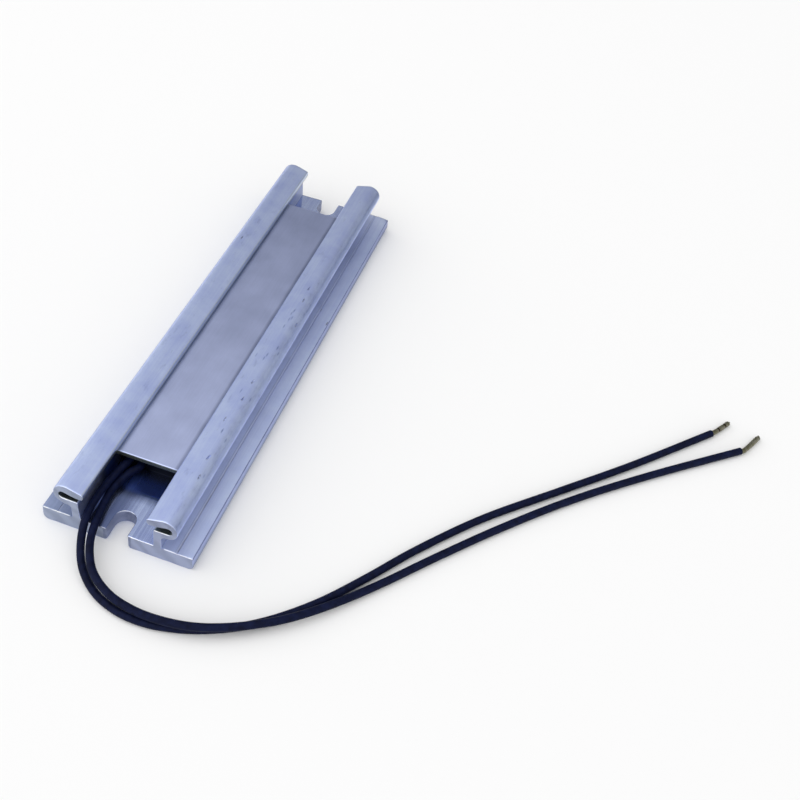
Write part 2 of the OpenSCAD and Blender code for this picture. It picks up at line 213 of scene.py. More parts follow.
def add_tube(bm, path, radii):
    """A closed tube round a path, with a radius for each of its points."""
    rings = []
    side = None
    for i, at in enumerate(path):
        along = (path[min(i + 1, len(path) - 1)] - path[max(i - 1, 0)]).normalized()
        side = along.orthogonal() if side is None else side - along * side.dot(along)
        side.normalize()
        across = along.cross(side)
        turns = [2 * math.pi * k / wire_sides for k in range(wire_sides)]
        spokes = [math.cos(t) * side + math.sin(t) * across for t in turns]
        rings.append([bm.verts.new(at + radii[i] * spoke) for spoke in spokes])
    join_rings(bm, rings)


def object_from(bm, name):
    """Writes a mesh to a new object in the scene."""
    mesh = bpy.data.meshes.new(name)
    bm.to_mesh(mesh)
    bm.free()
    made = bpy.data.objects.new(name, mesh)
    scene.collection.objects.link(made)
    return made


# %% Twisted strands of the stripped ends
upper_tip = (136, 31.3, 0.8)
lower_tip = (144.6, 29.3, 0.8)
bare_straight = 1.5
bare_steps = 24
outer_wires = 9
wire_d = 0.34
bundle_d = 1.42
twist_mm = 9
tip_round, tip_share = 0.4, 0.55
waist_depth = 0.16
waist_width = 0.35
pinched = []


def bare_path(points, tip):
    """Middle line of a stripped end: straight out of the insulation, then towards the tip."""
    along = (points[-1] - points[-2]).normalized()
    return smooth([points[-1], points[-1] + bare_straight * MM * along, Vector(tip) * MM], bare_steps)


def waist_at(run, waists):
    """How far the bundle is pinched together at each point of its run."""
    places = [w * run[-1] for w in waists]
    return [1 - waist_depth * sum(math.exp(-((r - w) / (waist_width * MM)) ** 2) for w in places)
            for r in run]


def make_strands(name, points, tip, waists=()):
    """Outer wires wound round a core; a waist narrows the bundle at a share of its length."""
    path = bare_path(points, tip)
    run = [0]
    for a, b in zip(path, path[1:]):
        run.append(run[-1] + (b - a).length)
    pinched.extend(next(p for p, r in zip(path, run) if r >= w * run[-1]) for w in waists)
    squeeze = waist_at(run, waists)
    bm = bmesh.new()
    wind_r = (bundle_d - wire_d) / 2 * MM
    round_off = [min(1, tip_share + (1 - tip_share) * (run[-1] - r) / (tip_round * MM)) for r in run]
    add_tube(bm, path, [wind_r * s * o for s, o in zip(squeeze, round_off)])
    for k in range(outer_wires):
        wound = []
        for i, at in enumerate(path):
            along = (path[min(i + 1, len(path) - 1)] - path[max(i - 1, 0)]).normalized()
            side = along.cross(Vector((0, 0, 1))).normalized()
            up = side.cross(along)
            turn = 2 * math.pi * (k / outer_wires + run[i] / (twist_mm * MM))
            wound.append(at + wind_r * squeeze[i] * (math.cos(turn) * side + math.sin(turn) * up))
        # The wires were cut together but end one to three steps short, each by another amount.
        short = 1 + (k * 5) % 3
        wound = wound[:len(wound) - short]
        add_tube(bm, wound, [wire_d / 2 * MM * o for o in round_off])
    bmesh.ops.recalc_face_normals(bm, faces=bm.faces)
    strands = object_from(bm, name)
    strands.data.shade_smooth()
    return strands


upper_strands = make_strands("upper_lead_strands", upper_points, upper_tip, waists=(0.32, 0.69))
lower_strands = make_strands("lower_lead_strands", lower_points, lower_tip)
print("outer wires of each end:", outer_wires, "pinched places:", len(pinched))

# %% [markdown]
# The leads and their strands take the places of the plain solids.

# %% Leads and strands in the part
leads = (
    ("upper_lead", upper_lead, upper_strands, upper_points),
    ("lower_lead", lower_lead, lower_strands, lower_points),
)
for node, lead, strands, points in leads:
    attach(strands, "root")
    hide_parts(node + "_bare_end")
    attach(lead, "root")
    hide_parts(node)
    print(node, "strands:", len(strands.data.polygons), "faces")

# %% [markdown]
# Helpers for the finishes. Colours are written as they are picked in a picture, as sRGB hex, and shaders
# want linear light, so one function converts them. Pattern sizes are written in millimetres: a noise of
# scale 1 has spots about one metre apart here, so the scale is the number of spots in a metre.

# %% Colour, size and node helpers


def linear(colour):
    """An sRGB hex colour as linear red, green, blue and alpha."""
    parts = [int(colour[i:i + 2], 16) / 255 for i in (1, 3, 5)]
    return [c / 12.92 if c <= 0.04045 else ((c + 0.055) / 1.055) ** 2.4 for c in parts] + [1]


def spots_of(size_mm):
    """Texture scale that puts the spots of a pattern this far apart."""
    return 1 / (size_mm * MM)


def add(tree, kind, inputs, out=0):
    """Adds a node and returns one output. Another node's socket is linked, any other value is set."""
    node = tree.nodes.new("ShaderNode" + kind)
    for name, value in inputs.items():
        if isinstance(value, bpy.types.NodeSocket):
            tree.links.new(value, node.inputs[name])
        elif isinstance(name, str) and hasattr(node, name):
            setattr(node, name, value)
        else:
            node.inputs[name].default_value = value
    return node.outputs[out]


def new_finish(name, **sockets):
    """A material with its node tree and main shader; the keywords set the shader's own sockets."""
    material = bpy.data.materials.new(name)
    material.use_nodes = True
    tree = material.node_tree
    shader = tree.nodes["Principled BSDF"]
    for socket, value in sockets.items():
        shader.inputs[socket.replace("_", " ")].default_value = value
    return material, tree, shader


def dress(tree, shader, colour, rough, height, relief_mm, strength):
    """Joins a finish to its shader: the colour, the roughness and a fine relief."""
    relief = add(tree, "Bump", {"Strength": strength, "Distance": relief_mm * MM, "Height": height})
    for socket, value in (("Base Color", colour), ("Roughness", rough), ("Normal", relief)):
        tree.links.new(value, shader.inputs[socket])


def wear(piece, material):
    """Gives a piece its finish as its only material."""
    piece.data.materials.clear()
    piece.data.materials.append(material)
    print(piece.name, "wears", material.name, "with", len(material.node_tree.nodes), "nodes")


# %% [markdown]
# Colours and masks. A pattern is a number for each spot of a surface. It can pick a colour between two, or
# say how much of one colour lies over another. A mask is a pattern that is 1 inside a zone and 0 outside.
# A Mix node takes the share as its input 0 and the lower and the upper colour as 6 and 7.

# %% Helpers for colours and masks
laid_over = {"data_type": "RGBA"}
multiplied = {"data_type": "RGBA", "blend_type": "MULTIPLY"}
soft_step = {"interpolation_type": "SMOOTHSTEP"}


def tones(tree, factor, dark, light, low=0.35, high=0.65):
    """A colour that runs from dark to light as a pattern rises from low to high."""
    ramp = add(tree, "ValToRGB", {"Fac": factor})
    for element, place, colour in zip(ramp.node.color_ramp.elements, (low, high), (dark, light)):
        element.position = place
        element.color = linear(colour)
    return ramp


def product(tree, first, *others):
    """The product of some factors, which is 1 only where all of them are."""
    for other in others:
        first = add(tree, "Math", {"operation": "MULTIPLY", 0: first, 1: other})
    return first


def between(tree, value, low, high, soft):
    """1 between two values, with soft steps at both."""
    edges = ((low - soft, low + soft), (high + soft, high - soft))
    return product(tree, *[add(tree, "MapRange", {**soft_step, "Value": value, "From Min": start,
                                                  "From Max": stop}) for start, stop in edges])


def near_any(tree, place, spots, outer, inner):
    """1 close to any of some spots, and 0 further away than the outer distance."""
    near = 0.0
    for spot in spots:
        away = add(tree, "VectorMath", {"operation": "DISTANCE", 0: place, 1: spot}, "Value")
        close = add(tree, "MapRange", {**soft_step, "Value": away, "From Min": outer, "From Max": inner})
        near = add(tree, "Math", {"operation": "MAXIMUM", 0: near, 1: close})
    return near


# %% [markdown]
# The housing. It is one length of extruded profile, sawn at both ends, so its section is all that there is
# to draw. The section is read from the solid by cutting it across the middle, which keeps the two the same.
# A computer model has knife edges and a real extrusion hasn't, so each corner of the section gets a small
# round, and the sawn ends get an uneven one, where the burr was broken off by hand.

# %% Section of the profile, read from the solid
weld_m = 1e-7


def section_of(node):
    """The outline of a node where the plane y = 0 cuts it, as a loop of (x, z) points."""
    bm = bmesh.new()
    bm.from_mesh(frame["nodes"][node].data)
    bmesh.ops.remove_doubles(bm, verts=bm.verts, dist=weld_m)
    cut = bmesh.ops.bisect_plane(bm, geom=bm.verts[:] + bm.edges[:] + bm.faces[:], plane_co=(0, 0, 0),
                                 plane_no=(0, 1, 0), clear_inner=True, clear_outer=True)
    edges = {e for e in cut["geom_cut"] if isinstance(e, bmesh.types.BMEdge)}
    edge = next(iter(edges))
    start, vert = edge.verts
    loop = [Vector((start.co.x, start.co.z))]
    while vert is not start:
        loop.append(Vector((vert.co.x, vert.co.z)))
        edge = next(e for e in vert.link_edges if e in edges and e is not edge)
        vert = edge.other_vert(vert)
    bm.free()
    turned_left = sum(a.x * b.y - b.x * a.y for a, b in zip(loop, loop[1:] + loop[:1])) > 0
    loop = loop if turned_left else loop[::-1]
    # The cut's edges come in no fixed order, so the loop is turned to start at its lowest left point.
    first = min(range(len(loop)), key=lambda i: (round(loop[i].x / MM, 4), round(loop[i].y / MM, 4)))
    return loop[first:] + loop[:first]


drawn_section = section_of("housing")
print("points of the solid's section:", len(drawn_section))

# %% Section with rounded corners and even steps
corner_round = 0.18
corner_room = 0.4
section_step = 0.9
same_point_mm = 0.002
straight_turn = math.radians(0.5)
sharp_turn = math.radians(30)


def turn_at(loop, i):
    """The two directions that meet at a point of a loop, and the angle between them."""
    into = (loop[i] - loop[i - 1]).normalized()
    out = (loop[(i + 1) % len(loop)] - loop[i]).normalized()
    return into, out, into.angle(out, 0)


def rounded(loop):
    """The loop without points on straight stretches, and with its sharp corners rounded."""
    loop = [p for i, p in enumerate(loop) if (loop[i - 1] - p).length > same_point_mm * MM]
    loop = [p for i, p in enumerate(loop) if turn_at(loop, i)[2] > straight_turn]
    soft = []
    for i, p in enumerate(loop):
        into, out, angle = turn_at(loop, i)
        if angle < sharp_turn:
            soft.append(p)
            continue
        room = min((p - loop[i - 1]).length, (loop[(i + 1) % len(loop)] - p).length)
        reach = min(corner_round * MM, corner_room * room)
        a, b = p - reach * into, p + reach * out
        soft += [a, 0.5 * p + 0.25 * (a + b), b]
    return soft


def stepped(loop):
    """The loop with its long stretches divided into equal short ones."""
    fine = []
    for p, q in zip(loop, loop[1:] + loop[:1]):
        parts = max(1, round((q - p).length / (section_step * MM)))
        fine += [p.lerp(q, k / parts) for k in range(parts)]
    return fine


section = stepped(rounded(drawn_section))
print("points of the rounded section:", len(section))

# %% [markdown]
# From section to housing. A Bevel modifier on the finished solid trips over the many short edges of the
# rounds, so the rings of the extrusion are laid directly: the first rings at each end step inwards along a
# quarter circle. A radius that follows a smooth noise makes the sawn edge uneven. The knock on the far
# right corner of the flange presses the upper points down to a sloping plane, as in the solid.

# %% Extruded body with broken ends
sawn_round = 0.2
burr_mm = 2.5
burr_swing = 0.8
ring_step = 2.5
# The last rings lie close together, so that the knocked corner has points to press down.
last_rings = (2, 1.5, 1, 0.5)
round_steps = 3
sharpest_cosine = 0.5
dent_across, dent_along, dent_depth = 3, 2, 0.5
flange_z = 4.4
housing_low, housing_high = (Vector(corner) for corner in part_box("housing"))


def outward(loop, i):
    """Direction out of the metal at a point of the section, long enough to keep straight edges parallel."""
    into, out, angle = turn_at(loop, i)
    across = Vector((into.y + out.y, -into.x - out.x)).normalized()
    return across / max(sharpest_cosine, math.cos(angle / 2))


def pressed_down(point):
    """A point of the flange's knocked corner, lowered to the dent's plane."""
    into_x = (point.x - housing_high.x) / (dent_across * MM) + 1
    into_y = (point.y - housing_high.y) / (dent_along * MM) + 1
    fall = dent_depth * MM * max(0, into_x + into_y - 1) if into_x > 0 and into_y > 0 else 0
    if abs(point.z - flange_z * MM) < 2 * dent_depth * MM:
        point.z = min(point.z, flange_z * MM - fall)
    return point


def sawn_radius(point, end):
    """Radius of the broken edge at a point of the section, at one end of the housing."""
    return sawn_round * MM * (1 + burr_swing * noise(Vector((point.x, end, point.y)) / (burr_mm * MM)))


def ring_places(loop):
    """For each ring and each of its points: the way along the housing, and how far it steps inwards."""
    length = housing_high.y - housing_low.y
    front, back = ([sawn_radius(p, end) for p in loop] for end in (housing_low.y, housing_high.y))
    start, reach = last_rings[-1] * MM, length - last_rings[0] * MM
    steps = round((length / MM - last_rings[0]) / ring_step)
    stations = [start + (reach - start) * k / steps for k in range(steps)]
    stations += [length - d * MM for d in last_rings]
    turns = [math.pi / 2 * (1 - k / round_steps) for k in range(round_steps + 1)]
    rings = [[(r * (1 - math.sin(t)), r * (1 - math.cos(t))) for r in front] for t in turns]
    rings += [[(s, 0)] * len(loop) for s in stations]
    for t in reversed(turns):
        rings.append([(length - r * (1 - math.sin(t)), r * (1 - math.cos(t))) for r in back])
    return rings


def extrude_section(loop):
    """Rings of the section from end to end, joined into a closed mesh."""
    normals = [outward(loop, i) for i in range(len(loop))]
    bm = bmesh.new()
    made = []
    for ring in ring_places(loop):
        made.append([])
        for p, n, (along, inset) in zip(loop, normals, ring):
            q = p - inset * n
            point = pressed_down(Vector((q.x, housing_low.y + along, q.y)))
            made[-1].append(bm.verts.new(point))
    count = len(loop)
    for a, b in zip(made, made[1:]):
        for i in range(count):
            bm.faces.new((a[i], b[i], b[(i + 1) % count], a[(i + 1) % count]))
    caps = [bm.faces.new(made[0]), bm.faces.new(made[-1][::-1])]
    for cap in caps:
        cap.normal_update()
    bmesh.ops.triangulate(bm, faces=caps)
    bmesh.ops.recalc_face_normals(bm, faces=bm.faces)
    return bm


housing = object_from(extrude_section(section), "housing_body")
print("housing faces before the cuts:", len(housing.data.polygons))

# %% [markdown]
# The cuts. The screw slots are open at the ends, with a round floor, a round mouth and a broken upper edge.
# The rails and the right flange have a few nicks from handling. Both are cut with one Boolean: the slots
# from a lofted plug that flares where the edge is broken, the nicks from squashed balls.

# %% Plugs of the screw slots
slot_w, slot_depth, slot_chamfer, mouth_r = 5.6, 6.8, 0.6, 0.4
slot_break = 0.15
least_mouth_r = 0.05
mouth_steps, arc_steps = 4, 24
plug_past, plug_top = 1, 6


def slot_outline(widen):
    """Half of the plug's outline from the mouth to the round floor, mirrored to a closed loop."""
    half = slot_w / 2 + widen
    round_r = max(least_mouth_r, mouth_r - widen)
    straight = slot_depth - slot_w / 2
    side = [Vector((half + round_r, -plug_past))]
    for k in range(mouth_steps + 1):
        t = math.pi / 2 * k / mouth_steps
        side.append(Vector((half + round_r - round_r * math.sin(t), round_r - round_r * math.cos(t))))
    for k in range(arc_steps + 1):
        t = math.pi / 2 * k / arc_steps
        side.append(Vector((half * math.cos(t), straight + half * math.sin(t))))
    return side + [Vector((-p.x, p.y)) for p in side[-2::-1]]


def add_slot_plug(bm, end):
    """A plug for the slot at the front (end -1) or the back (end 1)."""
    end_y = housing_low.y if end < 0 else housing_high.y
    levels = [(-plug_past, slot_chamfer), (0, slot_chamfer), (slot_chamfer, 0),
              (flange_z - slot_break, 0), (flange_z, slot_break), (plug_top, slot_break)]
    rings = []
    for z, widen in levels:
        outline = slot_outline(widen)
        rings.append([bm.verts.new((p.x * MM, end_y - end * p.y * MM, z * MM)) for p in outline])
    join_rings(bm, rings)


plugs = bmesh.new()
for end in (-1, 1):
    add_slot_plug(plugs, end)
print("faces of the two slot plugs:", len(plugs.faces))

# %% Nicks, and the cut
# Place of each nick, then its width and length in mm and its lean in degrees
nicks = [
    (13.8, -50.5, 14.97, 0.5, 2.4, -14), (14.3, -56.8, 14.8, 0.35, 0.9, 10),
    (13.4, -22.4, 15.05, 0.4, 1.8, -8), (13.5, -29.1, 15.04, 0.4, 1.3, -20),
    (15.2, 3.4, 14.2, 0.35, 1.2, 5), (-13.2, 31.0, 15.0, 0.35, 0.9, -20),
    (15.9, 22.5, 4.45, 0.3, 0.8, 12), (19.6, 17.7, 4.4, 0.3, 0.9, -8),
    (13.6, 12.8, 15.02, 0.4, 0.9, 20), (12.2, -37.3, 14.98, 0.45, 0.9, 0),
    (13.2, 18.2, 15.08, 0.35, 1.8, -15),
]
nick_depth = 0.25
nick_swing = 0.25
uneven = random.Random(7)


def add_nick(bm, x, y, z, wide, long, lean):
    """A squashed ball that dips a little way into the surface."""
    ball = bmesh.ops.create_icosphere(bm, subdivisions=2, radius=1)["verts"]
    turn = Euler((0, 0, math.radians(lean))).to_matrix()
    for v in ball:
        rough = 1 + nick_swing * uneven.uniform(-1, 1)
        v.co = turn @ Vector((v.co.x * wide / 2, v.co.y * long / 2, v.co.z * nick_depth)) * rough
        v.co = (v.co + Vector((x, y, z))) * MM


def cut_away(target, plugs):
    """Takes the plugs out of the target and keeps the result as its mesh."""
    tool = object_from(plugs, "cutting_plugs")
    cut = target.modifiers.new("cuts", "BOOLEAN")
    cut.operation = "DIFFERENCE"
    cut.solver = "EXACT"
    cut.object = tool
    result = bpy.data.meshes.new_from_object(target.evaluated_get(bpy.context.evaluated_depsgraph_get()))
    target.modifiers.clear()
    target.data = result
    bpy.data.objects.remove(tool)


for nick in nicks:
    add_nick(plugs, *nick)
bmesh.ops.recalc_face_normals(plugs, faces=plugs.faces)
cut_away(housing, plugs)
housing.data.name = "housing_body"
print("housing faces after the cuts:", len(housing.data.polygons))

# %% [markdown]
# Shading. Smooth shading rounds off the small edges, but on its own it also bends the light on the large
# flat faces next to them. Weighted normals let the large faces win, so they stay flat.

# %% Flat faces and the housing's place in the part
housing_sharp, plate_sharp = 35, 40


def settle_normals(piece, angle):
    """Smooth shading that keeps flat faces flat and edges over the angle sharp."""
    piece.data.shade_smooth()
    piece.data.set_sharp_from_angle(angle=math.radians(angle))
    weigh = piece.modifiers.new("weighted_normals", "WEIGHTED_NORMAL")
    weigh.keep_sharp = True


settle_normals(housing, housing_sharp)
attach(housing, "root")
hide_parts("housing")
print(housing.name, "stands for the solid housing")

# %% [markdown]
# The cover plate is a strip of sheet, cut off with a shear. It could stay a plain block, but the shear
# rolls the edge that it enters and leaves the other one crisp, and that is what draws the two bright
# lines along the cut end. The solid's few edges take a Bevel operator well.

# %% Cover plate with sheared edges
shear_round = 0.18
flat_turn = math.radians(1)
plate_mesh = bmesh.new()
plate_mesh.from_mesh(frame["nodes"]["cover_plate"].data)
bmesh.ops.remove_doubles(plate_mesh, verts=plate_mesh.verts, dist=weld_m)
bmesh.ops.dissolve_limit(plate_mesh, angle_limit=flat_turn, verts=plate_mesh.verts, edges=plate_mesh.edges)
bmesh.ops.bevel(plate_mesh, geom=plate_mesh.edges[:], offset=shear_round * MM, offset_type="OFFSET",
                segments=3, profile=0.5, affect="EDGES", clamp_overlap=True)
bmesh.ops.recalc_face_normals(plate_mesh, faces=plate_mesh.faces)
plate = object_from(plate_mesh, "cover_plate_strip")
settle_normals(plate, plate_sharp)
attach(plate, "root")
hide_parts("cover_plate")
print("plate faces:", len(plate.data.polygons))

# %% [markdown]
# Extruded aluminium, left as it came from the die. The die drags fine lines along the whole length, which
# a noise gives when it is stretched that way. Handling adds stains and scuffs, and the saw leaves strokes
# on the two ends. An image could hold all this, but noises in millimetres stay sharp at any distance.

# %% Marks of the die, of handling and of the saw
# Real die lines are finer than 0.1 mm, too fine to show, so they are drawn as coarse as they need to be.
die_line_mm = 0.45
die_band_mm = 3.5
along_stretch = 0.012
stain_mm = 6
scuff_mm = 1.6
scuff_stretch = 0.35
# A wave texture turns by 20 radians in a metre at scale 1, so a stroke of the saw is about 3 mm wide.
saw_step_mm = 0.5
wave_radians = 20


def surface_marks(tree, place):
    """Patterns of the housing: die streaks, the streaks with stains, scuffs, and strokes of the saw."""
    drawn = add(tree, "Mapping", {"Vector": place, "Scale": (1, along_stretch, 1)})
    lines = add(tree, "TexNoise", {"Vector": drawn, "Scale": spots_of(die_line_mm), "Detail": 3})
    bands = add(tree, "TexNoise", {"Vector": drawn, "Scale": spots_of(die_band_mm), "Detail": 2})
    streaks = add(tree, "Mix", {"Factor": 0.5, "A": lines, "B": bands})
    stains = add(tree, "TexNoise", {"Vector": place, "Scale": spots_of(stain_mm), "Detail": 5,
                                    "Roughness": 0.6})
    rubbed = add(tree, "Mapping", {"Vector": place, "Scale": (1, scuff_stretch, 1)})
    scuffs = add(tree, "TexNoise", {"Vector": rubbed, "Scale": spots_of(scuff_mm), "Detail": 6,
                                    "Roughness": 0.65})
    saw = add(tree, "TexWave", {"Vector": place, "Scale": spots_of(saw_step_mm) / wave_radians,
                                "Distortion": 6, "Detail": 3, "bands_direction": "DIAGONAL"}, "Fac")
    mottled = add(tree, "Mix", {"Factor": 0.5, "A": streaks, "B": stains})
    return {"streaks": streaks, "mottled": mottled, "scuffs": scuffs, "saw": saw}


print("die lines, stains and scuffs in mm:", die_line_mm, stain_mm, scuff_mm)

# %% [markdown]
# The metal isn't the same all over, so the housing is divided into zones. A zone could be painted, but that
# needs an image or a very fine mesh. Here each zone is a mask that the shader works out from the place on
# the profile or from the way a face points, so a table of bounds is all that has to be written.

# %% Place and direction of each spot, and a zone from its bounds


def survey(tree, place):
    """Place of each spot of the surface in millimetres, and the way it faces from -1 to 1, by name."""
    in_mm = add(tree, "VectorMath", {"operation": "SCALE", 0: place, "Scale": 1 / MM})
    at = add(tree, "SeparateXYZ", {"Vector": in_mm}).node.outputs
    facing = add(tree, "SeparateXYZ", {"Vector": add(tree, "NewGeometry", {}, "Normal")}).node.outputs
    spot = {"in_mm": in_mm, "x": at["X"], "y": at["Y"], "z": at["Z"], "faces_back": facing["Y"],
            "faces_up": facing["Z"]}
    mirrored = {"off_axis": at["X"], "off_middle": at["Y"], "sideways": facing["X"], "endways": facing["Y"]}
    for name, value in mirrored.items():
        spot[name] = add(tree, "Math", {"operation": "ABSOLUTE", 0: value})
    return spot


def zone_of(tree, spot, bounds):
    """A mask of the spots within all bounds. Two limits are a soft step from the least share to all of it,
    three are a band and the softness of its edges."""
    masks = []
    for name, limits, *least in bounds:
        if len(limits) == 2:
            start, stop = limits
            mask = add(tree, "MapRange", {**soft_step, "Value": spot[name], "From Min": start,
                                          "From Max": stop})
        else:
            mask = between(tree, spot[name], *limits)
        masks.append(add(tree, "MapRange", {"Value": mask, "To Min": least[0]}) if least else mask)
    return product(tree, *masks)


# %% [markdown]
# The base. The flanges are painted lighter than the rest, the right one most towards its outer edge, as
# painted light beyond the hook's shade. The left one, and the far part of the right one, are darker with
# painted shade. The guide line is greyer near the front and the flange's rim has a darker edge line. A strip
# beside the guide line and the foot of the outer sides carry painted shade.

# %% Zones of the base
floor_bounds = [("off_axis", (9.8, 9.6)), ("z", (4.2, 4.6, 0.1))]
flange_face = ("z", (4.2, 4.45, 0.05))
left_half = ("x", (0, -1))
front_to_back = ("y", (-60, 120))
base_zones = {
    "floor": floor_bounds,
    "flange": [("off_axis", (11.7, 11.9)), flange_face],
    "outer": [("x", (15.2, 20.4))],
    "left": [left_half],
    # The far part of the right flange gets painted shade, but not its last stretch, which light from behind
    # reaches.
    "far_right": [front_to_back, ("x", (16, 15.6), 0.73), ("y", (72, 56))],
    "guide": [("off_axis", (15.55, 15.95, 0.06)), ("z", (4, 4.5, 0.05)), ("y", (-5, -60))],
    # Painted shade: the hook's shade carried on to the guide line.
    "strip": [("x", (15.15, 15.55, 0.12)), flange_face],
    "rim": [("off_axis", (19.75, 19.88)), ("z", (3.9, 4.45, 0.1))],
    # Painted shade at the foot of the outer sides, over the light bounced up from the floor.
    "foot": [("off_axis", (18.3, 18.6)), ("z", (3, 1.6)), ("faces_up", (-0.95, -0.7))],
}
print("zones of the base:", *base_zones)

# %% [markdown]
# The rails. Under the hooks the metal is painted pale, as painted light over the shade that falls there,
# and inside the hooks' slots it is darker and greener. The left lip's tip is greyer, with painted shade at
# its foot. Faces that look sideways carry painted shade that deepens towards the far end, and so does the
# hook's shoulder, over its bright reflection of the room. The hook's outer top was rubbed in handling.

# %% Zones of the rails
hook_bounds = [("off_axis", (13.9, 14.2)), ("z", (8.6, 8.8))]
not_down = ("faces_up", (-0.5, -0.15))
rail_zones = {
    "under_hook": [("off_axis", (11.7, 11.9)), ("z", (4.5, 12, 0.05))],
    "groove_wall": [("off_axis", (13.2, 12.9))],
    "groove_roof": [("faces_up", (-0.35, -0.5))],
    "slot": [("off_axis", (9.6, 14.9, 0.1)), ("z", (10.4, 12.9, 0.05))],
    "tip": [("x", (-9.4, -9)), left_half, ("z", (12, 14.2, 0.05)), ("sideways", (0.28, 0.5))],
    "tip_foot": [("z", (13.4, 12.8))],
    "hook": hook_bounds,
    "upright": [("sideways", (0.45, 0.85)), not_down],
    "shoulder": hook_bounds + [("faces_up", (0.78, 0.5)), ("faces_up", (-0.1, 0.3))],
    "handled": hook_bounds + [("faces_up", (0.97, 0.8)), ("faces_up", (-0.1, 0.2))],
}
print("zones of the rails:", *rail_zones)

# %% [markdown]
# The channel. Its floor is glossy under a thin grime. Beside the leads it is rougher and carries painted
# shade and a painted reflection of the leads and the left wall. Where the plate begins, painted shade lies
# over the metal, grey at its rim and dark blue further in, a painted reflection of the dark leads and sleeve.
# The open ends and the far wall's foot have a paler film, and the screw slots' own walls are dull.

# %% Zones of the channel
channel_bounds = [("off_axis", (10, 9.9)), ("z", (4.2, 10.4, 0.1))]
near_plate_front = ("y", (-52, -56))
channel_zones = {
    "grime": floor_bounds + [("y", (120, -60), 0.2)],
    # Painted shade and a painted reflection of the leads and the left wall, beside the leads; the floor is
    # rougher there too.
    "painted_lead_shade": floor_bounds + [("x", (1.8, -3.6)), ("x", (-5.8, -4), 0.4), ("y", (0, -40))],
    "inside": channel_bounds + [("off_middle", (54, 62))],
    "far_wall": channel_bounds + [("y", (54, 58)), ("z", (9, 6)), ("sideways", (0.5, 0.8))],
    # Painted shade where the plate begins: grey at its rim, then dark blue, a painted reflection of the dark
    # leads and sleeve.
    "painted_plate_shade": channel_bounds + [("y", (-63, -59.5)), near_plate_front],
    "painted_blue_shade": channel_bounds + [("y", (-60.8, -58.2)), near_plate_front],
    "bore": [("off_axis", (3.8, 3.6)), ("z", (4.4, 4.3)), ("off_middle", (65, 65.4)), not_down],
}
print("zones of the channel:", *channel_zones)

# %% [markdown]
# Edges and marks. The front edges carry a broken painted highlight, the far ones painted shade, and the
# sawn ends are dull. The nicks hold dirt. Fainter scrapes on the right rail have no depth, so they are only
# colour. Both are drawn out along the length, so the distance to them counts for less that way.

# %% Zones of edges and marks
top_edge = ("faces_up", (0.2, 0.4))
edge_zones = {
    "backwards": [front_to_back],
    # Painted highlight along the front top edges, weaker on the lips.
    "painted_front_glint": [("faces_back", (-0.9, -0.3, 0.1)), top_edge, ("z", (12.4, 11.8), 0.35)],
    # Painted shade along the far top edges.
    "far_edge": [("faces_back", (0.3, 0.9, 0.1)), top_edge],
    "end": [("endways", (0.85, 0.97))],
}
scrapes = [
    (13.3, -41.2, 15.08), (15.1, -43.3, 14.3), (11.9, -26.5, 14.9), (12.9, -11.6, 15.09),
    (12.6, -13.2, 15.07), (10.0, -12.1, 14.35), (14.3, -7.9, 14.8), (12.7, 0.6, 15.08),
    (13.4, 4.6, 15.07), (12.9, 3.8, 15.09), (12.9, 7.6, 15.09), (12.6, 6.3, 15.07),
    (15.1, -55.8, 14.3), (15.1, -9.3, 14.3), (15.1, -28.0, 14.3),
]
mark_shape = Vector((1, 0.25, 1))
nick_reach, scrape_reach = (0.3, 0.08), (0.32, 0.05)
handled_share = 0.22


def housing_zones(tree, spot):
    """All zones of the housing: those with bounds, those that join others, and the marks."""
    tables = {**base_zones, **rail_zones, **channel_zones, **edge_zones}
    zone = {name: zone_of(tree, spot, bounds) for name, bounds in tables.items()}
    joined = {}
    for name, either, other in (("painted_dim_parts", "left", "far_right"), ("inwards", "groove_wall", "groove_roof"),
                                ("plain", "flange", "end")):
        joined[name] = add(tree, "Math", {"operation": "MAXIMUM", 0: zone[either], 1: zone[other]})
    zone["painted_flange_shade"] = product(tree, zone["flange"], joined["painted_dim_parts"])
    zone["groove"] = product(tree, zone["under_hook"], joined["inwards"])
    zone["shaded"] = product(tree, zone["left"], joined["plain"])
    off_hook = add(tree, "MapRange", {**soft_step, "Value": zone["hook"], "From Min": 1, "From Max": 0})
    zone["side"] = product(tree, zone["upright"], off_hook)
    zone["rubbed"] = product(tree, zone["handled"], handled_share)
    drawn_out = add(tree, "VectorMath", {"operation": "MULTIPLY", 0: spot["in_mm"], 1: mark_shape})
    for name, marks, reach in (("nick", nicks, nick_reach), ("scrape", scrapes, scrape_reach)):
        zone[name] = near_any(tree, drawn_out, [Vector(mark[:3]) * mark_shape for mark in marks], *reach)
    return zone


print("zones of edges:", *edge_zones, "scrapes:", len(scrapes))

# %% [markdown]
# The coats. Bare metal takes its whole colour from the base colour, so each zone is a coat that multiplies
# the colour below it or takes its place. They are laid one after the other: wear, painted light and shade.

